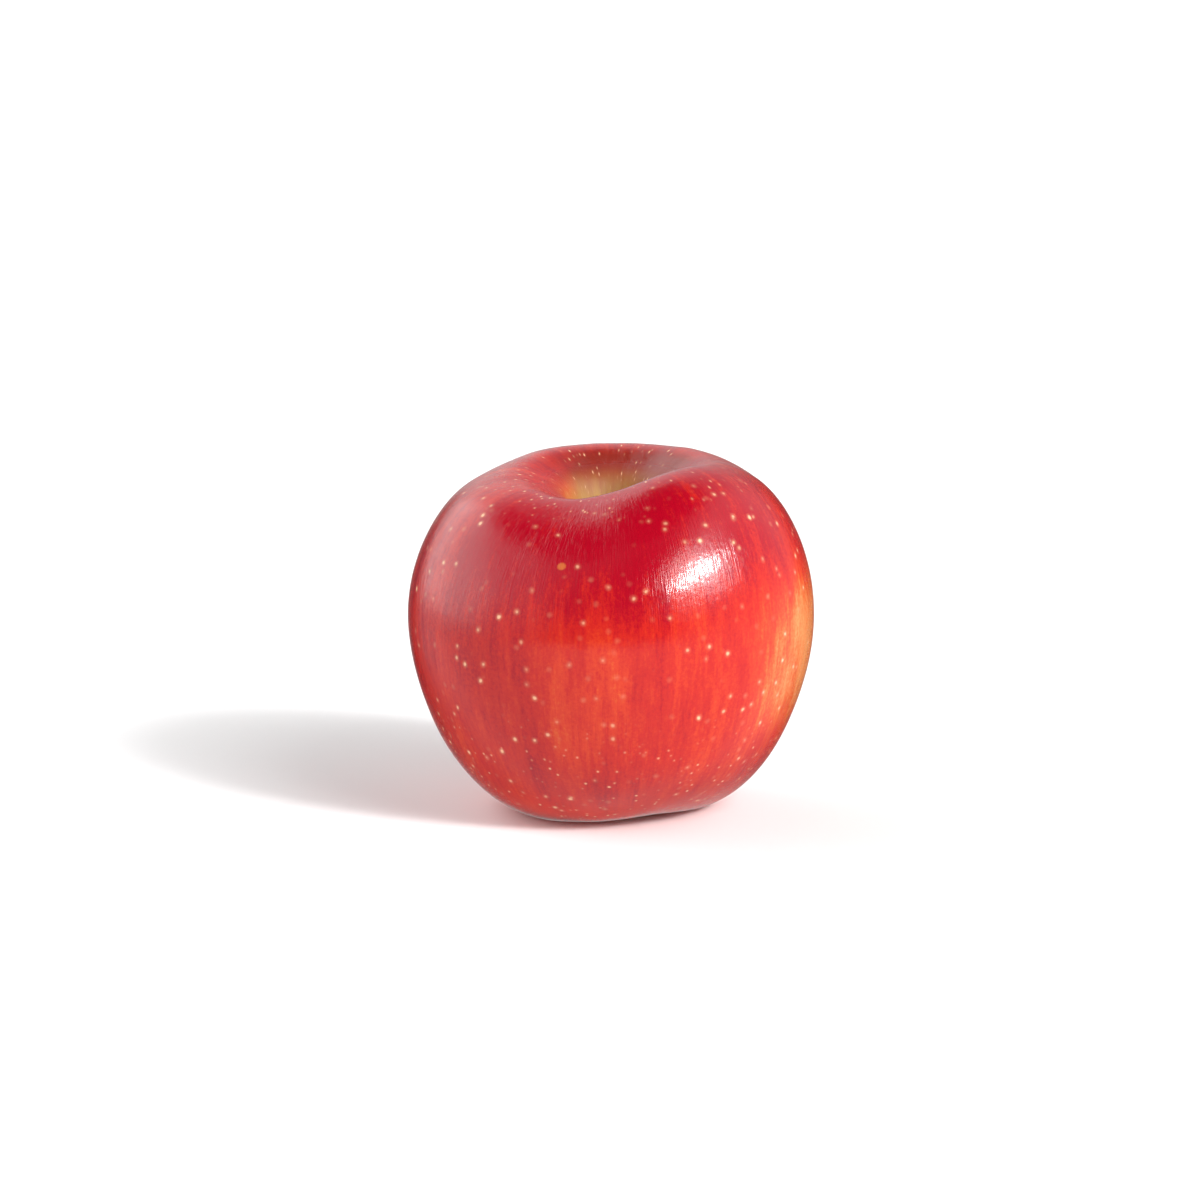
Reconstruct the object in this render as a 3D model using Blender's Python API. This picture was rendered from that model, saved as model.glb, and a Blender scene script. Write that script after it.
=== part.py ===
"""A fresh apple resting on its base: the fruit, the stub of its stem, and the dried flower parts under it.

Metres, +Z up. The origin is on the surface that the apple rests on, under the middle of the fruit. The
deepest valley of the shoulder faces -Y.
"""
import math

import bmesh
import bpy
import numpy as np

# The rings that the fruit's outline passes through before its valleys are pressed in. Heights and depths are
# measured along Z, the feet's ring at zero.
FRUIT_RADIUS = 0.0415
WIDEST_HEIGHT = 0.0425
CROWN_RADIUS = 0.0210
CROWN_HEIGHT = 0.0734
WELL_DEPTH = 0.0185
FOOT_RADIUS = 0.0160
BASIN_DEPTH = 0.0080

# How the outline bends between two of those rings: each pair is a share of the way out and a share of the
# way up, from the inner or lower ring.
WELL_WALL = ((0.26, 0.28), (0.41, 0.65), (0.66, 0.86))
UPPER_SIDE = ((0.52, 0.86), (0.89, 0.465))
LOWER_SIDE = ((0.935, 0.675), (0.71, 0.335), (0.39, 0.09))
BASIN_WALL = ((0.45, 0.47),)

# The five valleys between the fruit's lobes: direction in degrees, depth in the shoulder, depth at the feet.
VALLEYS = (
    (-107, 0.0060, 0.0006),
    (-57, 0.0000, 0.0025),
    (12, 0.0015, 0.0003),
    (80, 0.0002, 0.0008),
    (172, 0.0025, 0.0009),
)
VALLEY_SHARPNESS = 4.8
# Each band is a stretch of the outline, as shares of its length: its middle, and how far it reaches before
# and after that.
SHOULDER_BAND = (0.27, 0.17, 0.25)
FOOT_BAND = (0.84, 0.16, 0.16)

# Where the rim of the well hangs lower: direction in degrees, sharpness, band, depth.
SAGS = (
    (-126, 2.0, (0.15, 0.14, 0.22), 0.0033),
    (-160, 2.6, (0.19, 0.10, 0.14), 0.0012),
)

# How much of each foot is pressed flat where the fruit rests.
FOOT_FLAT = 0.0003

# The stem stands in a socket in the floor of the well.
STEM_RADIUS = 0.0014
STEM_LENGTH = 0.0095
STEM_END_SWELL = 1.25
STEM_LEAN = 0.0007
SOCKET_DEPTH = 0.0022

# The calyx tube is the pit that the flower left, with the five sepals round its mouth.
TUBE_RADIUS = 0.0032
TUBE_WALL_HEIGHT = 0.0014
TUBE_TAPER_HEIGHT = 0.0036
SEPAL_COUNT = 5
SEPAL_THICKNESS = 0.0004
SEPAL_LENGTH = 0.0056
SEPAL_SPREAD = 0.0024
SEPAL_PINCH = 0.0007
SEPAL_HALF_ANGLE = 0.46
TUFT_RADIUS = 0.0011
TUFT_LENGTH = 0.0036

# The gap that two touching pieces keep.
CLEARANCE = 0.0003

# How finely the pieces are divided.
FRUIT_SIDES = 64
POINTS_PER_SPAN = 4
STEM_SIDES = 12
STEM_STEPS = 6
SEPAL_ACROSS = 5
SEPAL_STEPS = 6
TUFT_SIDES = 20
TUFT_STEPS = 4


def smooth_curve(points, points_per_span):
    """Even-curvature cubic spline that passes through the points, read points_per_span times between two."""
    points = np.array(points)
    count = len(points)
    weights = (4 * np.eye(count) + np.eye(count, k=1) + np.eye(count, k=-1)) / 6
    weights[0] = np.eye(count)[0]
    weights[-1] = np.eye(count)[-1]
    guides = np.linalg.solve(weights, points)
    guides = np.vstack([2 * guides[0] - guides[1], guides, 2 * guides[-1] - guides[-2]])
    place = np.linspace(0, count - 1, (count - 1) * points_per_span + 1)
    span = np.minimum(place.astype(int), count - 2)
    u = (place - span)[:, None]
    return (
        (1 - u) ** 3 * guides[span]
        + (3 * u ** 3 - 6 * u ** 2 + 4) * guides[span + 1]
        + (-3 * u ** 3 + 3 * u ** 2 + 3 * u + 1) * guides[span + 2]
        + u ** 3 * guides[span + 3]
    ) / 6


def between(low, high, shares):
    """Points from one ring of the outline towards another, at shares of the way out and of the way up."""
    return [(low[0] + (high[0] - low[0]) * out, low[1] + (high[1] - low[1]) * up) for out, up in shares]


def fruit_outline():
    """Half of the fruit's outline as (radius, height), from the stem's socket over the crown to the calyx."""
    socket = (STEM_RADIUS + CLEARANCE, CROWN_HEIGHT - WELL_DEPTH)
    crown = (CROWN_RADIUS, CROWN_HEIGHT)
    widest = (FRUIT_RADIUS, WIDEST_HEIGHT)
    foot = (FOOT_RADIUS, 0.0)
    tube = (TUBE_RADIUS, BASIN_DEPTH)
    upper = [(crown[0] + (widest[0] - crown[0]) * out, widest[1] + (crown[1] - widest[1]) * up)
             for out, up in UPPER_SIDE]
    basin = [(tube[0] + (foot[0] - tube[0]) * out, tube[1] * up) for out, up in BASIN_WALL]
    points = [socket, *between(socket, crown, WELL_WALL), crown, *upper, widest]
    points += [*between(foot, widest, LOWER_SIDE), foot, *basin, tube]
    return smooth_curve(points, POINTS_PER_SPAN)


def outline_share(outline):
    """How far along the outline each of its points is, from zero to one."""
    steps = np.linalg.norm(np.diff(outline, axis=0), axis=1)
    return np.concatenate([[0], np.cumsum(steps)]) / steps.sum()


def band(share, middle, before, after):
    """A smooth hump along the outline: one in the middle of the band, nothing past its ends."""
    place = (share - middle) / np.where(share < middle, before, after)
    return np.cos(np.clip(place, -1, 1) * math.pi / 2) ** 2


def around(directions, degrees, sharpness):
    """A bell round the fruit: one in its own direction, falling off evenly on both sides."""
    return np.exp(sharpness * (np.cos(directions - math.radians(degrees)) - 1))


def valley_depths(share, directions):
    """How deep the surface is pressed in at each share of the outline and in each direction."""
    shoulder = band(share, *SHOULDER_BAND)
    feet = band(share, *FOOT_BAND)
    depths = np.zeros((len(share), len(directions)))
    for degrees, shoulder_depth, foot_depth in VALLEYS:
        across = around(directions, degrees, VALLEY_SHARPNESS)
        depths += np.outer(shoulder * shoulder_depth + feet * foot_depth, across)
    return depths


def sag_depths(share, directions):
    """How much lower the surface hangs at each share of the outline and in each direction."""
    depths = np.zeros((len(share), len(directions)))
    for degrees, sharpness, stretch, depth in SAGS:
        depths += np.outer(depth * band(share, *stretch), around(directions, degrees, sharpness))
    return depths


def fruit_surface():
    """The skin as rings of points, pressed in along the outline's own normal, before it is set down."""
    outline = fruit_outline()
    share = outline_share(outline)
    along = np.gradient(outline, axis=0)
    along /= np.linalg.norm(along, axis=1)[:, None]
    outward = np.stack([-along[:, 1], along[:, 0]], axis=1)
    directions = np.linspace(0, 2 * math.pi, FRUIT_SIDES, endpoint=False)
    depths = valley_depths(share, directions)
    radius = outline[:, :1] - outward[:, :1] * depths
    height = outline[:, 1:] - outward[:, 1:] * depths - sag_depths(share, directions)
    return np.stack([radius * np.cos(directions), radius * np.sin(directions), height], axis=2)


def ring(radius, height, sides, centre=(0.0, 0.0)):
    """One level ring of points. The radius may be one number or one for each point."""
    directions = np.linspace(0, 2 * math.pi, sides, endpoint=False)
    x = centre[0] + radius * np.cos(directions)
    y = centre[1] + radius * np.sin(directions)
    return np.stack([x, y, np.full(sides, height)], axis=1)


def closed_loft(name, rings, colour, roughness):
    """One closed body through a stack of rings with as many points each, both ends closed by a fan."""
    mesh = bmesh.new()
    rows = [[mesh.verts.new(point) for point in points] for points in rings]
    sides = len(rows[0])
    for upper, lower in zip(rows, rows[1:]):
        for i in range(sides):
            j = (i + 1) % sides
            mesh.faces.new((upper[i], lower[i], lower[j], upper[j]))
    for row, points in ((rows[0], rings[0]), (rows[-1], rings[-1])):
        middle = mesh.verts.new(np.mean(points, axis=0))
        for i in range(sides):
            mesh.faces.new((row[i], row[(i + 1) % sides], middle))
    bmesh.ops.recalc_face_normals(mesh, faces=mesh.faces)
    data = bpy.data.meshes.new(name)
    mesh.to_mesh(data)
    mesh.free()
    data.shade_smooth()
    data.materials.append(plain_material(name, colour, roughness))
    piece = bpy.data.objects.new(name, data)
    bpy.context.scene.collection.objects.link(piece)
    return piece


def plain_material(name, colour, roughness):
    material = bpy.data.materials.new(name + "_finish")
    material.use_nodes = True
    shader = material.node_tree.nodes["Principled BSDF"]
    shader.inputs["Base Color"].default_value = (*colour, 1.0)
    shader.inputs["Roughness"].default_value = roughness
    shader.inputs["Metallic"].default_value = 0.0
    return material


def make_fruit(skin, drop):
    """The skin set down on its feet, closed by the stem's socket above and the calyx tube below."""
    skin = skin - np.array([0.0, 0.0, drop])
    skin[:, :, 2] = np.maximum(skin[:, :, 2], 0.0)
    socket = ring(STEM_RADIUS + CLEARANCE, CROWN_HEIGHT - WELL_DEPTH - SOCKET_DEPTH - drop, FRUIT_SIDES)
    tube_wall = ring(TUBE_RADIUS, BASIN_DEPTH + TUBE_WALL_HEIGHT - drop, FRUIT_SIDES)
    tube_end_height = BASIN_DEPTH + TUBE_WALL_HEIGHT + TUBE_TAPER_HEIGHT - drop
    tube_end = ring(TUFT_RADIUS + CLEARANCE, tube_end_height, FRUIT_SIDES)
    closed_loft("fruit", [socket, *skin, tube_wall, tube_end], (0.48, 0.018, 0.022), 0.28)


def make_stem(drop):
    """A short woody stub that leans a little and swells at its cut end."""
    foot = CROWN_HEIGHT - WELL_DEPTH - SOCKET_DEPTH + CLEARANCE - drop
    rings = []
    for share in np.linspace(0, 1, STEM_STEPS + 1):
        radius = STEM_RADIUS * (1 + (STEM_END_SWELL - 1) * share ** 4)
        lean = STEM_LEAN * share ** 2
        rings.append(ring(radius, foot + STEM_LENGTH * share, STEM_SIDES, (lean, lean)))
    closed_loft("stem", rings, (0.12, 0.06, 0.03), 0.7)


def make_sepal(name, direction, drop):
    """A dried leaf of the flower: it lines the mouth of the tube, closes in below it and curls out again."""
    root_radius = TUBE_RADIUS - CLEARANCE - SEPAL_THICKNESS / 2
    root_height = BASIN_DEPTH + TUBE_WALL_HEIGHT - CLEARANCE - drop
    rings = []
    for share in np.linspace(0, 1, SEPAL_STEPS + 1):
        middle = root_radius - SEPAL_PINCH * math.sin(math.pi * share) + SEPAL_SPREAD * share ** 3
        half_thickness = SEPAL_THICKNESS / 2 * (1 - 0.5 * share)
        half_angle = SEPAL_HALF_ANGLE * (1 - 0.85 * share ** 1.5)
        across = np.linspace(-1, 1, SEPAL_ACROSS)
        angles = direction + half_angle * np.concatenate([across, across[::-1]])
        side = np.repeat([1.0, -1.0], SEPAL_ACROSS)
        radius = middle + side * half_thickness
        height = np.full(len(angles), root_height - SEPAL_LENGTH * share)
        rings.append(np.stack([radius * np.cos(angles), radius * np.sin(angles), height], axis=1))
    closed_loft(name, rings, (0.10, 0.07, 0.035), 0.8)


def make_stamen_tuft(drop):
    """The dried stamens and styles as one fluted clump that hangs from the top of the tube."""
    top = BASIN_DEPTH + TUBE_WALL_HEIGHT + TUBE_TAPER_HEIGHT - CLEARANCE - drop
    directions = np.linspace(0, 2 * math.pi, TUFT_SIDES, endpoint=False)
    flutes = 1 - 0.15 * (1 + np.cos(SEPAL_COUNT * directions)) / 2
    rings = []
    for share in np.linspace(0, 1, TUFT_STEPS + 1):
        radius = TUFT_RADIUS * (0.75 + 0.25 * math.sin(math.pi * share)) * flutes
        rings.append(ring(radius, top - TUFT_LENGTH * share, TUFT_SIDES))
    closed_loft("stamen_tuft", rings, (0.06, 0.035, 0.02), 0.85)


def main():
    for old in list(bpy.data.objects):
        bpy.data.objects.remove(old)
    skin = fruit_surface()
    drop = skin[:, :, 2].min() + FOOT_FLAT
    make_fruit(skin, drop)
    make_stem(drop)
    for number in range(SEPAL_COUNT):
        make_sepal(f"sepal_{number + 1}", 2 * math.pi * number / SEPAL_COUNT, drop)
    make_stamen_tuft(drop)


main()
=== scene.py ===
"""Looks of one fresh apple: its skin, stem and dried flower parts, with a white studio round it."""

import math

import bpy
import numpy as np
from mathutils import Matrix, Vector


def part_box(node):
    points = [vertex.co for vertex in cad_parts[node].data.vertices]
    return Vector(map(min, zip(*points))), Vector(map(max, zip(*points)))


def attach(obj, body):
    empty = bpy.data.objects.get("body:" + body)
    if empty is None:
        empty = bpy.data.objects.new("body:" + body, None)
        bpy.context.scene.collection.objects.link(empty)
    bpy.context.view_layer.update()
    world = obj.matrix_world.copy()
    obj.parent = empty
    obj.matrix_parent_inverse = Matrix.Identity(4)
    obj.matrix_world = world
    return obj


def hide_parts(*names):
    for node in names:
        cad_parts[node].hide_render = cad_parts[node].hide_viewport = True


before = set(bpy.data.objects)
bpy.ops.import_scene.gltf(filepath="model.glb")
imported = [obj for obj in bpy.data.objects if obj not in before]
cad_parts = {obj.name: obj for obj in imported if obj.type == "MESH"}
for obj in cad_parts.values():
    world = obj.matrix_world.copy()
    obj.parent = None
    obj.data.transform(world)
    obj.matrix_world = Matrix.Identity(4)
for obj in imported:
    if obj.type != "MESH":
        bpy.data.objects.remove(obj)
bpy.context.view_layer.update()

# ---------------------------------------------------------------------------------------------------------
# Sizes, in metres. The fruit's outline passes through rings given as radius and height above the feet.

FRUIT_RADIUS = 0.0415
WIDEST_HEIGHT = 0.0425
CROWN_RADIUS = 0.0210
CROWN_HEIGHT = 0.0734
WELL_DEPTH = 0.0185
FOOT_RADIUS = 0.0160
BASIN_DEPTH = 0.0080
FOOT_FLAT = 0.0003

WELL_WALL = ((0.26, 0.28), (0.41, 0.65), (0.66, 0.86))
UPPER_SIDE = ((0.52, 0.86), (0.89, 0.465))
LOWER_SIDE = ((0.935, 0.675), (0.71, 0.335), (0.39, 0.09))
BASIN_WALL = ((0.45, 0.47),)

# Valleys between the lobes: direction in degrees, depth in the shoulder, depth at the feet.
VALLEYS = (
    (-107, 0.0060, 0.0006),
    (-57, 0.0000, 0.0025),
    (12, 0.0015, 0.0003),
    (80, 0.0002, 0.0008),
    (172, 0.0025, 0.0009),
)
VALLEY_SHARPNESS = 4.8
# Each band is a stretch of the outline, as shares of its length: its middle, its reach before and after.
SHOULDER_BAND = (0.27, 0.17, 0.25)
FOOT_BAND = (0.84, 0.16, 0.16)

# Where the rim of the well hangs lower: direction in degrees, sharpness, band, depth.
SAGS = (
    (-126, 2.0, (0.15, 0.14, 0.22), 0.0033),
    (-160, 2.6, (0.19, 0.10, 0.14), 0.0012),
)

# The skin turns down sharply in front of the well: direction, sharpness, band, depth.
LIP_FOLD = (-106, 3.2, (0.335, 0.115, 0.20), 0.0011)

# Soft lumps of the flesh: waves round the fruit, waves along the outline, turn in radians, height.
LUMPS = (
    (3, 2.0, 0.6, 0.00018),
    (5, 3.0, 2.1, 0.00012),
    (8, 5.0, 4.0, 0.00007),
    (13, 7.0, 1.3, 0.00004),
    (21, 12.0, 5.2, 0.00002),
)

SOCKET_DEPTH = 0.0022
SOCKET_FILLET = 0.0007
STEM_GAP = 0.00012
TUBE_RADIUS = 0.0032
TUBE_WALL_HEIGHT = 0.0014
TUBE_TAPER_HEIGHT = 0.0036

SKIN_SIDES = 440
SKIN_STEPS = 190

# ---------------------------------------------------------------------------------------------------------
# Meshes


def new_piece(name, points, faces):
    """A smooth-shaded object at the origin from an array of points and an array of faces' corners."""
    data = bpy.data.meshes.new(name)
    data.from_pydata(points.tolist(), [], faces.tolist())
    data.shade_smooth()
    piece = bpy.data.objects.new(name, data)
    bpy.context.scene.collection.objects.link(piece)
    return piece


def tube_faces(steps, sides):
    """Quads between neighbouring rings of a grid of steps by sides points, each ring closed on itself."""
    step, side = np.meshgrid(np.arange(steps - 1), np.arange(sides), indexing="ij")
    after = (side + 1) % sides
    quads = np.stack([step * sides + side, (step + 1) * sides + side,
                      (step + 1) * sides + after, step * sides + after], axis=-1)
    return quads.reshape(-1, 4)


def closed_tube(rings):
    """Points and triangles of a closed body through rings that run so that their faces look outwards."""
    steps, sides = rings.shape[:2]
    quads = tube_faces(steps, sides)
    triangles = np.concatenate([quads[:, [0, 1, 2]], quads[:, [0, 2, 3]]])
    side = np.arange(sides)
    after = (side + 1) % sides
    first = steps * sides
    last = first + 1
    base = (steps - 1) * sides
    start_fan = np.stack([side, after, np.full(sides, first)], axis=1)
    end_fan = np.stack([base + after, base + side, np.full(sides, last)], axis=1)
    points = np.concatenate([rings.reshape(-1, 3), rings[0].mean(0)[None], rings[-1].mean(0)[None]])
    return points, np.concatenate([triangles, start_fan, end_fan])


def smooth_curve(points, count):
    """Cubic spline of even curvature through the points, read at count even places.

    Guide points are solved so that a uniform cubic B-spline passes through every point given.
    """
    points = np.array(points)
    size = len(points)
    weights = (4 * np.eye(size) + np.eye(size, k=1) + np.eye(size, k=-1)) / 6
    weights[0] = np.eye(size)[0]
    weights[-1] = np.eye(size)[-1]
    guides = np.linalg.solve(weights, points)
    guides = np.vstack([2 * guides[0] - guides[1], guides, 2 * guides[-1] - guides[-2]])
    place = np.linspace(0, size - 1, count)
    span = np.minimum(place.astype(int), size - 2)
    u = (place - span)[:, None]
    return (
        (1 - u) ** 3 * guides[span]
        + (3 * u ** 3 - 6 * u ** 2 + 4) * guides[span + 1]
        + (-3 * u ** 3 + 3 * u ** 2 + 3 * u + 1) * guides[span + 2]
        + u ** 3 * guides[span + 3]
    ) / 6


def between(low, high, shares):
    """Points inside a box with corners low and high, each given as a share of its width and its height."""
    return [(low[0] + (high[0] - low[0]) * out, low[1] + (high[1] - low[1]) * up) for out, up in shares]


def band(share, middle, before, after):
    """A hump along the outline: the square of a cosine, one in the middle and nothing past the ends."""
    place = (share - middle) / np.where(share < middle, before, after)
    return np.cos(np.clip(place, -1, 1) * math.pi / 2) ** 2


def around(directions, degrees, sharpness):
    """A bell round the fruit: the exponential of a cosine, one in its own direction."""
    return np.exp(sharpness * (np.cos(directions - math.radians(degrees)) - 1))


def socket_rim(stem_radius):
    """Where the wall of the stem's socket turns over into the floor of the well: radius and height."""
    return stem_radius + STEM_GAP + SOCKET_FILLET, CROWN_HEIGHT - WELL_DEPTH


def outline_points(stem_radius, tube_radius):
    """Half of the plain outline, from the rim of the stem's socket over the crown to the calyx tube."""
    socket = socket_rim(stem_radius)
    crown = (CROWN_RADIUS, CROWN_HEIGHT)
    widest = (FRUIT_RADIUS, WIDEST_HEIGHT)
    foot = (FOOT_RADIUS, 0.0)
    tube = (tube_radius, BASIN_DEPTH)
    well = between(socket, crown, WELL_WALL)
    upper = between((CROWN_RADIUS, WIDEST_HEIGHT), (FRUIT_RADIUS, CROWN_HEIGHT), UPPER_SIDE)
    lower = between(foot, widest, LOWER_SIDE)
    basin = between((tube_radius, 0.0), (FOOT_RADIUS, BASIN_DEPTH), BASIN_WALL)
    return [socket, *well, crown, *upper, widest, *lower, foot, *basin, tube]


def valley_depths(share, directions):
    """Each valley is a bell round its own direction, times its depths in the shoulder's and feet's bands."""
    shoulder = band(share, *SHOULDER_BAND)
    feet = band(share, *FOOT_BAND)
    depths = np.zeros((len(share), len(directions)))
    for degrees, shoulder_depth, foot_depth in VALLEYS:
        across = around(directions, degrees, VALLEY_SHARPNESS)
        depths += np.outer(shoulder * shoulder_depth + feet * foot_depth, across)
    return depths


def sag_depths(share, directions):
    """How much lower the surface hangs: each sag's depth times its band, times a bell round the fruit."""
    depths = np.zeros((len(share), len(directions)))
    for degrees, sharpness, reach, depth in SAGS:
        depths += np.outer(depth * band(share, *reach), around(directions, degrees, sharpness))
    return depths


def lump_heights(share, directions):
    """Products of a wave round the fruit and a wave along it, fading to nothing at both ends."""
    heights = np.zeros((len(share), len(directions)))
    for waves, along, turn, height in LUMPS:
        wave = np.cos(waves * directions[None] + turn + 3 * np.sin(along * share[:, None] + turn))
        heights += height * wave * np.sin(math.pi * share[:, None])
    return heights


def skin_rings(stem_radius, tube_radius):
    """The whole skin as rings of points, with its place along the outline for each ring.

    Every point is the plain outline's point, moved along the outline's normal by lumps less valleys and the
    lip's fold, lowered by the sags, and turned to its direction. The walls of the socket and of the tube are
    plain rings that close the two ends.
    """
    outline = smooth_curve(outline_points(stem_radius, tube_radius), SKIN_STEPS)
    lengths = np.linalg.norm(np.diff(outline, axis=0), axis=1)
    share = np.concatenate([[0], np.cumsum(lengths)]) / lengths.sum()
    along = np.gradient(outline, axis=0)
    along /= np.linalg.norm(along, axis=1)[:, None]
    outward = np.stack([-along[:, 1], along[:, 0]], axis=1)
    directions = np.linspace(0, 2 * math.pi, SKIN_SIDES, endpoint=False)
    degrees, sharpness, fold, depth = LIP_FOLD
    offset = lump_heights(share, directions) - valley_depths(share, directions)
    offset -= np.outer(depth * band(share, *fold), around(directions, degrees, sharpness))
    radius = outline[:, :1] + outward[:, :1] * offset
    height = outline[:, 1:] + outward[:, 1:] * offset - sag_depths(share, directions)
    drop = height.min() + FOOT_FLAT
    height = np.maximum(height - drop, 0.0)

    rim_radius, rim_height = socket_rim(stem_radius)
    bend = np.linspace(0, math.pi / 2, 5)[:-1]
    wall_radius = rim_radius - SOCKET_FILLET * np.sin(bend)
    wall_height = rim_height - drop - SOCKET_FILLET * (1 - np.cos(bend))
    socket = np.stack([wall_radius, wall_height], axis=1)[::-1]
    socket_floor = rim_height - drop - SOCKET_DEPTH
    socket = np.vstack([[(rim_radius - SOCKET_FILLET, socket_floor)], socket[:-1]])
    tube_floor = BASIN_DEPTH + TUBE_WALL_HEIGHT - drop
    tube = np.array([(tube_radius, BASIN_DEPTH - drop + 0.5 * TUBE_WALL_HEIGHT), (tube_radius, tube_floor),
                     (0.6 * tube_radius, tube_floor + 0.8 * TUBE_TAPER_HEIGHT),
                     (0.3 * tube_radius, tube_floor + TUBE_TAPER_HEIGHT)])
    radius = np.vstack([np.tile(socket[:, :1], SKIN_SIDES), radius, np.tile(tube[:, :1], SKIN_SIDES)])
    height = np.vstack([np.tile(socket[:, 1:], SKIN_SIDES), height, np.tile(tube[:, 1:], SKIN_SIDES)])
    share = np.concatenate([np.zeros(len(socket)), share, np.ones(len(tube))])
    return np.stack([radius * np.cos(directions), radius * np.sin(directions), height], axis=2), share


def fit_to_box(rings, low, high):
    """The same shape, moved and stretched a little so that its box is exactly the CAD node's."""
    lowest = rings.reshape(-1, 3).min(0)
    highest = rings.reshape(-1, 3).max(0)
    return np.array(low) + (rings - lowest) * (np.array(high) - np.array(low)) / (highest - lowest)


def make_skin():
    low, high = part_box("fruit")
    stem_low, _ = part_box("stem")
    rings, share = skin_rings(-stem_low.x, TUBE_RADIUS)
    rings = fit_to_box(rings, low, high)
    points, triangles = closed_tube(rings)
    skin = new_piece("apple_skin", points, triangles)
    directions = np.linspace(0, 2 * math.pi, SKIN_SIDES, endpoint=False)
    flow = np.empty((*rings.shape[:2], 3))
    flow[:, :, 0] = np.cos(directions)
    flow[:, :, 1] = np.sin(directions)
    flow[:, :, 2] = share[:, None]
    flow = np.concatenate([flow.reshape(-1, 3), [[0, 0, 0], [0, 0, 1]]])
    attribute = skin.data.attributes.new("flow", "FLOAT_VECTOR", "POINT")
    attribute.data.foreach_set("vector", flow.ravel())
    return skin


# ---------------------------------------------------------------------------------------------------------
# Stem, sepals and stamens

STEM_SWELL = 1.25
STEM_LEAN = 0.0007
# Ridges of the stem: waves round it, how far they wind in radians, height as a share of the radius.
STEM_RIDGES = ((3, 2.0, 0.050), (7, -3.0, 0.035), (16, 5.0, 0.015))
STEM_SIDES = 56
STEM_STEPS = 60

SEPALS = 5
SEPAL_ACROSS = 13
SEPAL_STEPS = 26
SEPAL_ROOT_RADIUS = 0.0027
SEPAL_PINCH = 0.0007
SEPAL_SPREAD = 0.0024
SEPAL_THICKNESS = 0.0004
SEPAL_LENGTH = 0.0056
SEPAL_HALF_ANGLE = 0.46

FILAMENTS = 20
FILAMENT_RADIUS = 0.00008
STYLES = 5
STYLE_RADIUS = 0.00013
THREAD_BOW = 0.00022
GOLDEN_TURN = 2.399963
THREAD_STEPS = 9
THREAD_SIDES = 6


def make_stem():
    """Rings up a leaning stub that swells at its end, its radius ridged by waves that wind round it slowly.

    The last rings turn inwards and dip, so that the cut end has a worn edge and a hollow.
    """
    low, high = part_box("stem")
    share = np.linspace(0, 1, STEM_STEPS)[:, None]
    directions = np.linspace(0, 2 * math.pi, STEM_SIDES, endpoint=False)[None]
    ridges = sum(depth * np.cos(count * directions + twist * share) for count, twist, depth in STEM_RIDGES)
    knots = 0.05 * np.cos(9 * share + 1) + 0.03 * np.cos(23 * share)
    radius = -low.x * (1 + (STEM_SWELL - 1) * share ** 4) * (1 + ridges + knots)
    height = low.z + (high.z - low.z) * share + 0 * directions
    inset = np.array([0.93, 0.78, 0.45, 0.15])[:, None]
    dip = np.array([0.00004, 0.0, -0.00016, -0.0003])[:, None]
    radius = np.concatenate([radius, radius[-1:] * inset])
    height = np.concatenate([height, height[-1:] + dip])
    lean = STEM_LEAN * np.concatenate([share, np.ones((len(inset), 1))]) ** 2
    x = lean + radius * np.cos(directions)
    y = lean + radius * np.sin(directions)
    rings = fit_to_box(np.stack([x, y, height], axis=2), low, high)
    return new_piece("stem_stub", *closed_tube(rings[::-1]))


def make_sepal(number):
    """A dried leaf as sections across it from its root to its tip.

    Its middle closes in below the tube and curls out again as the cube of the way along, its edges curl
    inwards as the square of the way across, and small waves crinkle it more and more towards the tip.
    """
    name = f"sepal_{number + 1}"
    low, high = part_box(name)
    turn = 2 * math.pi * number / SEPALS
    share = np.linspace(0, 1, SEPAL_STEPS)[:, None]
    across = np.linspace(-1, 1, SEPAL_ACROSS)
    across = np.concatenate([across, across[::-1]])[None]
    side = np.repeat([1.0, -1.0], SEPAL_ACROSS)[None]
    half_angle = SEPAL_HALF_ANGLE * (1 - 0.85 * share ** 1.5) * (1 + 0.08 * np.sin(19 * share + number))
    angles = turn + half_angle * across + 0.10 * share ** 2 * math.sin(2.4 * number + 1)
    crinkle = 0.00012 * share * np.sin(17 * share + 4 * across + number)
    curl = -0.0004 * share * across ** 2
    thickness = SEPAL_THICKNESS / 2 * (1 - 0.5 * share) * (1 - 0.55 * across ** 4)
    middle = SEPAL_ROOT_RADIUS - SEPAL_PINCH * np.sin(math.pi * share) + SEPAL_SPREAD * share ** 3
    radius = middle + crinkle + curl + side * thickness
    height = high.z - SEPAL_LENGTH * share + 0 * across
    rings = np.stack([radius * np.cos(angles), radius * np.sin(angles), height], axis=2)
    return name, new_piece(f"dry_{name}", *closed_tube(fit_to_box(rings, low, high)))


def thread(foot, tip, radius, bow, knob):
    """A thin tube from foot to tip along a bowed line, thicker at its tip by the knob's share."""
    share = np.linspace(0, 1, THREAD_STEPS)[:, None, None]
    directions = np.linspace(0, 2 * math.pi, THREAD_SIDES, endpoint=False)[None, :, None]
    line = foot + (tip - foot) * share + bow * np.sin(math.pi * share)
    thick = radius * (1 - 0.4 * share + knob * np.exp(-((share - 0.93) / 0.06) ** 2))
    level = np.concatenate([np.cos(directions), np.sin(directions), 0 * directions], axis=2)
    return line + thick * level


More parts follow.
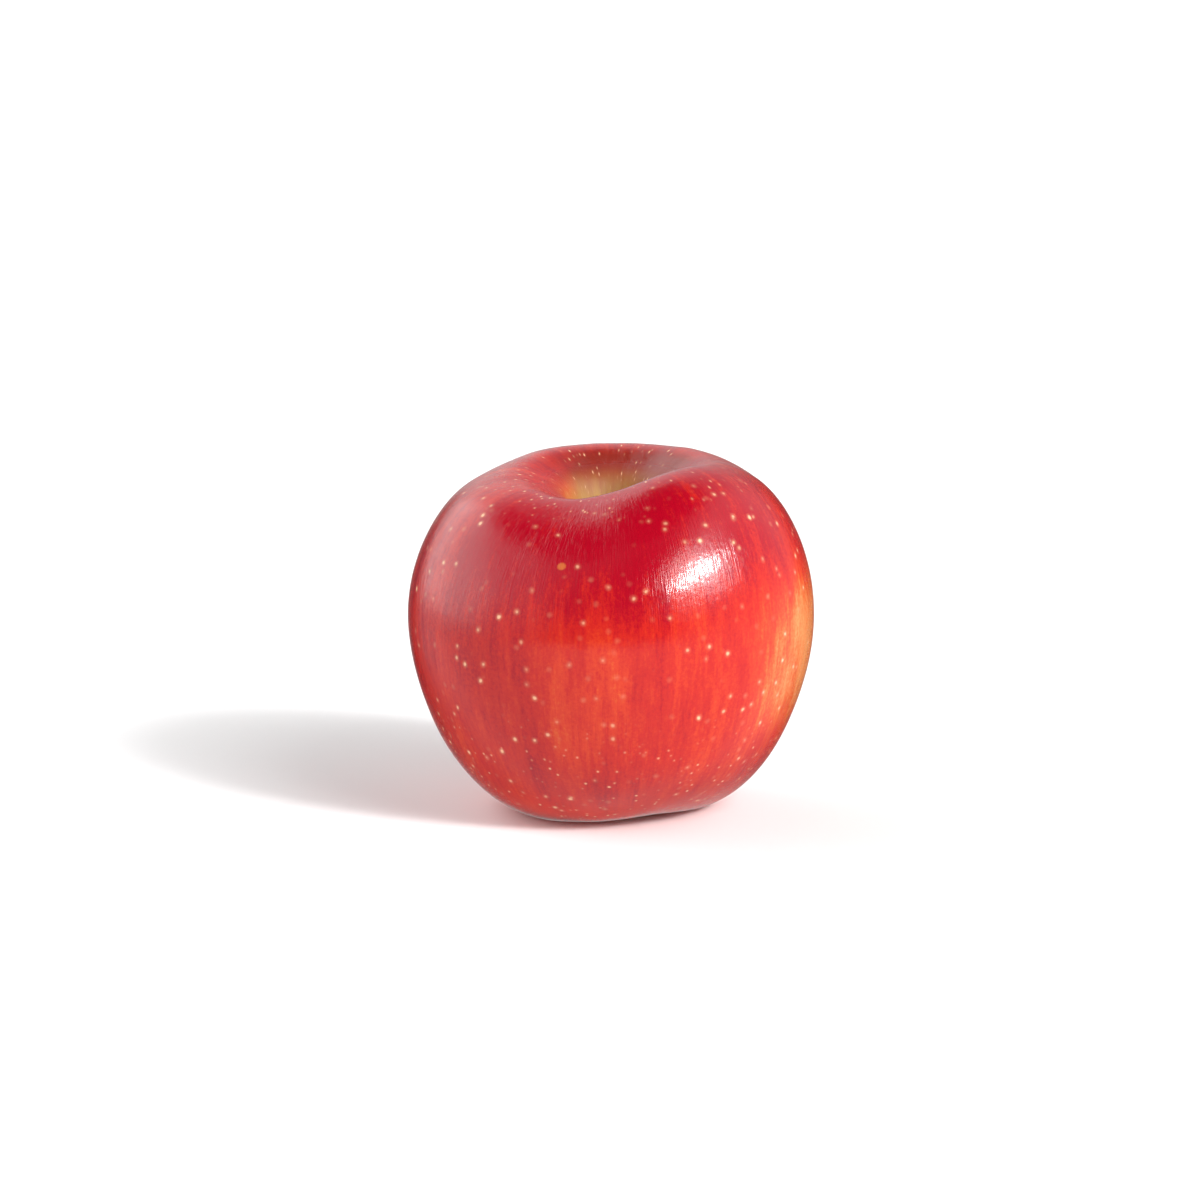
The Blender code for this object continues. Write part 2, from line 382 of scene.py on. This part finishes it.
def make_stamens():
    """Twenty bowed threads on a ring inside the tube and five thicker ones in the middle, as one mesh."""
    low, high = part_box("stamen_tuft")
    reach = high.x
    rings = []
    for number in range(FILAMENTS + STYLES):
        is_style = number >= FILAMENTS
        turn = GOLDEN_TURN * number
        out = np.array([math.cos(turn), math.sin(turn), 0.0])
        start = 0.22 if is_style else 0.62 + 0.12 * math.sin(3.1 * number)
        end = 0.35 if is_style else 0.70 + 0.22 * math.sin(5.3 * number)
        fall = 0.97 if is_style else 0.80 + 0.18 * math.sin(1.7 * number)
        foot = out * reach * start + np.array([0.0, 0.0, high.z])
        tip = out * reach * end + np.array([0.0, 0.0, high.z - (high.z - low.z) * fall])
        bow = np.array([-out[1], out[0], 0.0]) * THREAD_BOW * math.sin(2.3 * number)
        radius = STYLE_RADIUS if is_style else FILAMENT_RADIUS
        knob = 0.4 if is_style else 1.1
        rings.append(thread(foot, tip, radius, bow, knob))
    points = []
    faces = []
    for tube in rings:
        tube_points, tube_triangles = closed_tube(tube)
        faces.append(tube_triangles + sum(len(part) for part in points))
        points.append(tube_points)
    return new_piece("dry_stamens", np.concatenate(points), np.concatenate(faces))


# ---------------------------------------------------------------------------------------------------------
# Shader maths


class Value:
    """A socket that can be used in arithmetic: each operation adds a Math node behind it."""

    def __init__(self, tree, socket):
        self.tree = tree
        self.socket = socket

    def _math(self, operation, *terms):
        return self.tree.node("ShaderNodeMath", {"operation": operation}, dict(enumerate(terms)))

    def __add__(self, other):
        return self._math("ADD", self, other)

    def __sub__(self, other):
        return self._math("SUBTRACT", self, other)

    def __mul__(self, other):
        return self._math("MULTIPLY", self, other)

    def __rsub__(self, other):
        return self._math("SUBTRACT", other, self)

    __radd__ = __add__
    __rmul__ = __mul__

    def clamp(self):
        return self.tree.node("ShaderNodeClamp", {}, {"Value": self})

    def smooth(self, low, high):
        """Nothing below low, one above high, a smooth step between. Low may be the greater of the two."""
        sockets = {"Value": self, "From Min": low, "From Max": high}
        return self.tree.node("ShaderNodeMapRange", {"interpolation_type": "SMOOTHSTEP"}, sockets)


class Tree:
    """A node tree that is written as expressions."""

    def __init__(self, owner):
        owner.use_nodes = True
        self.tree = owner.node_tree
        self.tree.nodes.clear()

    def node(self, kind, settings, sockets, output=0):
        """Adds a node: its settings first, then each socket's number, colour or link. Returns an output."""
        made = self.tree.nodes.new(kind)
        for name, setting in settings.items():
            setattr(made, name, setting)
        for name, value in sockets.items():
            if isinstance(value, Value):
                self.tree.links.new(value.socket, made.inputs[name])
            else:
                made.inputs[name].default_value = value
        return Value(self, made.outputs[output]) if made.outputs else None

    def attribute(self, name):
        return self.node("ShaderNodeAttribute", {"attribute_name": name}, {}, "Vector")

    def place(self):
        return self.node("ShaderNodeTexCoord", {}, {}, "Object")

    def scaled(self, vector, x, y, z):
        settings = {"operation": "MULTIPLY"}
        return self.node("ShaderNodeVectorMath", settings, {0: vector, 1: (x, y, z)})

    def along(self, vector, direction):
        """How far a vector goes in a direction."""
        settings = {"operation": "DOT_PRODUCT"}
        return self.node("ShaderNodeVectorMath", settings, {0: vector, 1: direction}, "Value")

    def noise(self, vector, scale, detail=2.0, roughness=0.5):
        sockets = {"Vector": vector, "Scale": scale, "Detail": detail, "Roughness": roughness}
        return self.node("ShaderNodeTexNoise", {}, sockets, 0)

    def cells(self, vector, scale, output="Distance"):
        return self.node("ShaderNodeTexVoronoi", {}, {"Vector": vector, "Scale": scale}, output)

    def mix(self, factor, colour, other):
        """From one colour to another as the factor goes from nothing to one."""
        def full(value):
            return value if isinstance(value, Value) else (*value, 1.0)
        sockets = {"Factor": factor, 6: full(colour), 7: full(other)}
        return self.node("ShaderNodeMix", {"data_type": "RGBA"}, sockets, 2)

    def bump(self, height, distance):
        return self.node("ShaderNodeBump", {}, {"Height": height, "Distance": distance})

    def surface(self, shader):
        self.node("ShaderNodeOutputMaterial", {}, {"Surface": shader})


def assign(piece, material, slot, *nodes):
    """Gives a piece its material, rides it on the root body, and hides the CAD nodes that it stands in for.
    """
    piece.data.materials.clear()
    piece.data.materials.append(material)
    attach(piece, "root")
    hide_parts(*nodes)


# ---------------------------------------------------------------------------------------------------------
# Skin

CRIMSON = (0.33, 0.0015, 0.011)
RED = (0.47, 0.014, 0.010)
ORANGE_RED = (0.56, 0.035, 0.011)
ORANGE = (0.60, 0.10, 0.018)
AMBER = (0.66, 0.23, 0.07)
GREEN_YELLOW = (0.44, 0.26, 0.035)
FLECK = (0.52, 0.14, 0.03)
# Painted light: a lighter red that stands in for floor bounce light on the lower skin.
PAINTED_BOUNCE_RED = (0.68, 0.045, 0.025)
# Painted shade: a dark red that stands in for the shade on the walls of the stem's well.
WELL_SHADE_RED = (0.20, 0.020, 0.012)
RUSSET = (0.22, 0.10, 0.04)
PALE = (0.80, 0.46, 0.26)

SKIN_ROUGHNESS = 0.13
WELL_ROUGHNESS_ADDED = 0.38
SKIN_GRAIN_DEPTH = 0.0001
FLECK_DIRECTION = -106
FLECK_SHARE = 0.388


def toward(degrees):
    return (math.cos(math.radians(degrees)), math.sin(math.radians(degrees)), 0.0)


def facing(tree, flow, degrees, start, full):
    """One within full degrees of a direction round the fruit, nothing past start degrees."""
    near = tree.along(flow, toward(degrees))
    return near.smooth(math.cos(math.radians(start)), math.cos(math.radians(full)))


def stretch(share, start, full, full_end, end):
    """One along a stretch of the outline, with soft ends."""
    return share.smooth(start, full) * share.smooth(end, full_end)


def blush_depth(tree, flow, place, share):
    """How deep the red is: broad patches, then streaks that run from the stem to the calyx, then flecks."""
    patches = tree.noise(tree.scaled(flow, 3.2, 3.2, 3.0), 1.0, 2.0)
    bands = tree.noise(tree.scaled(flow, 9.0, 9.0, 5.0), 1.0, 3.0, 0.55)
    streaks = tree.noise(tree.scaled(flow, 22.0, 22.0, 13.0), 1.0, 4.0, 0.6)
    hairs = tree.noise(tree.scaled(flow, 64.0, 64.0, 36.0), 1.0, 3.0, 0.6)
    flecks = tree.noise(place, 1500.0, 4.0, 0.7)
    depth = 0.80 + 0.35 * (patches - 0.5) + 0.55 * (bands - 0.5) + 0.55 * (streaks - 0.5)
    depth = depth + 0.32 * (hairs - 0.5) + 0.55 * (flecks - 0.5)
    depth = depth + 0.22 * share.smooth(0.50, 0.36) * facing(tree, flow, -95, 75, 20)
    depth = depth - 0.26 * facing(tree, flow, -97, 20, 4) * stretch(share, 0.44, 0.52, 0.62, 0.76)
    depth = depth - 0.50 * facing(tree, flow, -20, 32, 4) * stretch(share, 0.38, 0.50, 0.58, 0.74)
    depth = depth - 0.10 * facing(tree, flow, -35, 55, 20) * stretch(share, 0.34, 0.46, 0.70, 0.85)
    depth = depth - 0.05 * share.smooth(0.50, 0.66)
    depth = depth - 0.35 * facing(tree, flow, 60, 80, 15) * stretch(share, 0.30, 0.45, 0.65, 0.82)
    return depth - 0.75 * share.smooth(0.145, 0.07) - 0.6 * share.smooth(0.90, 0.98)


def skin_colour(tree, flow, place, share):
    depth = blush_depth(tree, flow, place, share)
    colour = tree.mix(depth.smooth(0.0, 0.32), AMBER, ORANGE)
    colour = tree.mix(depth.smooth(0.22, 0.50), colour, ORANGE_RED)
    colour = tree.mix(depth.smooth(0.45, 0.72), colour, RED)
    colour = tree.mix(depth.smooth(0.68, 0.98), colour, CRIMSON)
    # Painted shade on the walls of the well: most on the back wall, least on the left wall.
    well_shade = share.smooth(0.155, 0.115) + share.smooth(0.20, 0.155) * facing(tree, flow, 80, 85, 50)
    colour = tree.mix((well_shade * (1 - 0.6 * facing(tree, flow, 170, 60, 25))).clamp() * 0.9, colour, WELL_SHADE_RED)
    off = share - FLECK_SHARE
    from_fleck = 1 - tree.along(flow, toward(FLECK_DIRECTION)) + off * off * 8.0
    colour = tree.mix(from_fleck.smooth(0.0005, 0.0001) * 0.75, colour, FLECK)
    # Painted light: the lower skin near the feet is lightened to stand in for light bounced up from the
    # white floor.
    colour = tree.mix(stretch(share, 0.74, 0.84, 0.87, 0.95) * 0.75, colour, PAINTED_BOUNCE_RED)
    rays = tree.noise(tree.scaled(flow, 10.0, 10.0, 12.0), 1.0, 3.0)
    sunless = share.smooth(0.14, 0.06) * (0.35 + 0.65 * facing(tree, flow, 92, 75, 30))
    pit = (sunless + share.smooth(0.90, 0.98)) * (0.30 + 1.1 * rays)
    colour = tree.mix(pit.clamp() * 0.85, colour, GREEN_YELLOW)
    russet = share.smooth(0.125, 0.05) * facing(tree, flow, 45, 70, 20) * (rays * 1.6)
    russet = russet + share.smooth(0.05, 0.0) * 0.8
    return tree.mix(russet.clamp() * 0.75, colour, RUSSET)


def dot_layer(tree, where, scale, core, halo):
    """Pale dots at the middles of scattered cells, bright inside core and fading to nothing at halo."""
    distance = tree.cells(where, scale)
    strong = tree.along(tree.cells(where, scale, "Color"), (1, 0, 0)) * 0.8 + 0.35
    return (distance.smooth(core, core * 0.25) * 0.85 + distance.smooth(halo, 0.0) * 0.30) * strong


def lenticels(tree, flow, place, share):
    """Wide-set dots on the cheeks, smaller and closer ones near the feet, drawn-out ones in the well."""
    wobble = tree.node("ShaderNodeTexNoise", {}, {"Vector": place, "Scale": 700.0, "Detail": 1.0}, 1)
    settings = {"operation": "MULTIPLY_ADD"}
    bent = tree.node("ShaderNodeVectorMath", settings, {0: wobble, 1: (0.0004, 0.0004, 0.0004), 2: place})
    wide = dot_layer(tree, bent, 285.0, 0.15, 0.30) * stretch(share, 0.16, 0.30, 0.80, 0.90)
    close = dot_layer(tree, bent, 520.0, 0.17, 0.30) * stretch(share, 0.60, 0.76, 0.97, 1.0)
    drawn = dot_layer(tree, tree.scaled(flow, 15.0, 15.0, 42.0), 1.0, 0.17, 0.30)
    drawn = drawn * stretch(share, 0.05, 0.09, 0.20, 0.32)
    return (wide + close + drawn).clamp()


def skin_material():
    """Waxy red skin, finely pitted and faintly ribbed from stem to calyx, duller in the well, whose walls
    are darkened by painted shade.
    """
    material = bpy.data.materials.new("apple_skin")
    tree = Tree(material)
    flow = tree.attribute("flow")
    place = tree.place()
    share = tree.along(flow, (0, 0, 1))
    colour = skin_colour(tree, flow, place, share)
    colour = tree.mix(lenticels(tree, flow, place, share), colour, PALE)

    peel = tree.noise(place, 800.0, 2.0)
    hatch = tree.noise(tree.scaled(flow, 170.0, 170.0, 24.0), 1.0, 2.0)
    roughness = SKIN_ROUGHNESS + WELL_ROUGHNESS_ADDED * share.smooth(0.17, 0.10)
    shader = tree.node("ShaderNodeBsdfPrincipled", {}, {
        "Base Color": colour, "Roughness": roughness, "IOR": 1.45,
        "Normal": tree.bump(peel * 0.45 + hatch * 0.55, SKIN_GRAIN_DEPTH)})
    tree.surface(shader)
    return material


BARK_BROWNS = ((0.05, 0.028, 0.012), (0.22, 0.15, 0.07))
LEAF_BROWNS = ((0.09, 0.055, 0.025), (0.30, 0.21, 0.12))
THREAD_BROWNS = ((0.05, 0.025, 0.012), (0.20, 0.12, 0.06))
DRY_GRAIN_DEPTH = 0.00012


def dry_material(name, dark, light, grain, coarse, roughness):
    """Dead plant matter: two browns mixed along its grain and in blotches, rough, with a raised grain."""
    material = bpy.data.materials.new(name)
    tree = Tree(material)
    place = tree.place()
    fibres = tree.noise(tree.scaled(place, grain, grain, grain * 0.12), 1.0, 4.0, 0.6)
    blotches = tree.noise(place, coarse, 3.0)
    mixed = (fibres * 0.6 + blotches * 0.4).smooth(0.35, 0.65)
    shader = tree.node("ShaderNodeBsdfPrincipled", {}, {
        "Base Color": tree.mix(mixed, dark, light), "Roughness": roughness, "Specular IOR Level": 0.3,
        "Normal": tree.bump(fibres, DRY_GRAIN_DEPTH)})
    tree.surface(shader)
    return material


# ---------------------------------------------------------------------------------------------------------
# Studio

ROOM_LIGHT = 0.08
BACKDROP_LIGHT = 1.2
FLOOR_RADIUS = 0.6
FLOOR_SIDES = 96
FLOOR_DROP = 5e-5
FLOOR_WHITE = (0.86, 0.86, 0.86, 1)
CAMERA_ELEVATION = 10.5
CAMERA_DISTANCE = 0.682
LENS = 100.0
SENSOR = 36.0
AIM_LEFT = 0.00225
AIM_UP = 0.00655


def make_camera(apple_height):
    """A long lens in front of the apple, a little above it, aimed a little up and left of its middle."""
    middle = Vector((0.0, 0.0, apple_height / 2))
    elevation = math.radians(CAMERA_ELEVATION)
    back = Vector((0.0, -math.cos(elevation), math.sin(elevation)))
    up = Vector((0.0, math.sin(elevation), math.cos(elevation)))
    data = bpy.data.cameras.new("camera")
    data.lens = LENS
    data.sensor_width = SENSOR
    camera = bpy.data.objects.new("camera", data)
    camera.location = middle + back * CAMERA_DISTANCE
    aim = middle - Vector((AIM_LEFT, 0.0, 0.0)) + up * AIM_UP
    camera.rotation_euler = (aim - camera.location).to_track_quat("-Z", "Y").to_euler()
    bpy.context.scene.collection.objects.link(camera)
    bpy.context.scene.camera = camera


def studio_direction(side, height):
    """A direction from the apple: degrees to the right of the camera, and degrees above the horizon."""
    flat = math.cos(math.radians(height))
    turn = math.radians(side)
    return Vector((math.sin(turn) * flat, -math.cos(turn) * flat, math.sin(math.radians(height))))


def make_lamp(name, side, height, spread, strength):
    """A large distant lamp, as wide as its spread in degrees."""
    data = bpy.data.lights.new(name, "SUN")
    data.energy = strength
    data.angle = math.radians(spread)
    lamp = bpy.data.objects.new(name, data)
    lamp.rotation_euler = studio_direction(side, height).to_track_quat("Z", "Y").to_euler()
    bpy.context.scene.collection.objects.link(lamp)
    return lamp


# Lamps: side and height in degrees, spread in degrees, strength.
KEY_LAMP = (51, 31, 10, 2.0)
LOW_FILL_LAMP = (-8, 6, 60, 0.55)

# Soft walls of light: side and height in degrees, how far out it starts and is full in degrees, brightness.
# The last four make the window.
WALLS = (
    (-112, 25, 75, 25, 0.8),
    (-116, 26, 42, 14, 2.1),
    (-66, 15, 36, 14, 0.40),
    (172, 28, 66, 22, 0.5),
    (92, 15, 60, 20, 0.65),
    (80, 62, 26, 10, 0.5),
    (53, 33, 30, 13, 1.2),
    (61, 23, 12, 4, 8.0),
    (41, 39, 13, 5, 8.0),
    (51, 31, 12, 5, 8.0),
)
# Dark screens in the same terms: overhead and low behind the fruit on both sides, and two patches of painted
# shadow on the painted floor behind it.
SCREENS_AND_FLOOR_SHADOWS = (
    (-160, 84, 32, 26, 0.97),
    (-152, -5, 26, 12, 0.9),
    (154, -6, 30, 14, 0.9),
    (-150, -40, 36, 16, 0.75),
    (152, -42, 30, 12, 0.5),
)
# The painted sky turns into the painted floor between these heights in degrees. Mirror rays see this floor.
HORIZON = (-9.0, 5.0)
FLOOR_GLOW = 0.9


def patch(tree, toward_sky, side, height, start, full):
    """A round patch of the sky: nothing past start degrees from its middle, one within full degrees."""
    near = tree.along(toward_sky, studio_direction(side, height))
    return near.smooth(math.cos(math.radians(start)), math.cos(math.radians(full)))


def make_world():
    """White to the eye, and round the apple a dark room with soft white walls behind it and beside it."""
    world = bpy.data.worlds.new("studio")
    bpy.context.scene.world = world
    tree = Tree(world)
    toward_sky = tree.node("ShaderNodeTexCoord", {}, {}, "Generated")
    light = ROOM_LIGHT
    for side, height, start, full, brightness in WALLS:
        light = light + patch(tree, toward_sky, side, height, start, full) * brightness
    low, high = (math.sin(math.radians(degrees)) for degrees in HORIZON)
    above = tree.along(toward_sky, (0, 0, 1)).smooth(low, high)
    light = light * above + (1 - above) * FLOOR_GLOW
    # Darkens the sky by the screens, and the painted floor by its painted shadow.
    for side, height, start, full, darkness in SCREENS_AND_FLOOR_SHADOWS:
        light = light * (1 - patch(tree, toward_sky, side, height, start, full) * darkness)
    seen = tree.node("ShaderNodeLightPath", {}, {}, "Is Camera Ray")
    strength = seen * BACKDROP_LIGHT + (1 - seen) * light
    background = tree.node("ShaderNodeBackground", {}, {"Color": (1, 1, 1, 1), "Strength": strength})
    tree.node("ShaderNodeOutputWorld", {}, {"Surface": background})


def make_floor():
    """A round white floor: a fan of triangles from a rim of points to the middle, just under the feet."""
    directions = np.linspace(0, 2 * math.pi, FLOOR_SIDES, endpoint=False)
    rim = FLOOR_RADIUS * np.stack([np.cos(directions), np.sin(directions), 0 * directions], axis=1)
    points = np.concatenate([rim, np.zeros((1, 3))]) - np.array([0.0, 0.0, FLOOR_DROP])
    side = np.arange(FLOOR_SIDES)
    fan = np.stack([side, (side + 1) % FLOOR_SIDES, np.full(FLOOR_SIDES, FLOOR_SIDES)], axis=1)
    floor = new_piece("floor", points, fan)
    material = bpy.data.materials.new("white_floor")
    tree = Tree(material)
    shader = tree.node("ShaderNodeBsdfPrincipled", {}, {
        "Base Color": FLOOR_WHITE, "Roughness": 0.9, "Specular IOR Level": 0.0})
    tree.surface(shader)
    floor.data.materials.append(material)
    floor.visible_glossy = False


def main():
    _, fruit_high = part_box("fruit")
    make_camera(fruit_high.z)
    make_lamp("key", *KEY_LAMP)
    make_lamp("low_fill", *LOW_FILL_LAMP).visible_glossy = False
    make_world()
    make_floor()
    bpy.context.scene.view_settings.view_transform = "Standard"
    assign(make_skin(), skin_material(), "skin", "fruit")
    bark = dry_material("stem_bark", *BARK_BROWNS, 4000.0, 900.0, 0.75)
    assign(make_stem(), bark, "stem", "stem")
    leaf = dry_material("dry_leaf", *LEAF_BROWNS, 6000.0, 1500.0, 0.85)
    for number in range(SEPALS):
        name, sepal = make_sepal(number)
        assign(sepal, leaf, "sepal", name)
    threads = dry_material("dry_threads", *THREAD_BROWNS, 9000.0, 2500.0, 0.8)
    assign(make_stamens(), threads, "stamen", "stamen_tuft")


main()
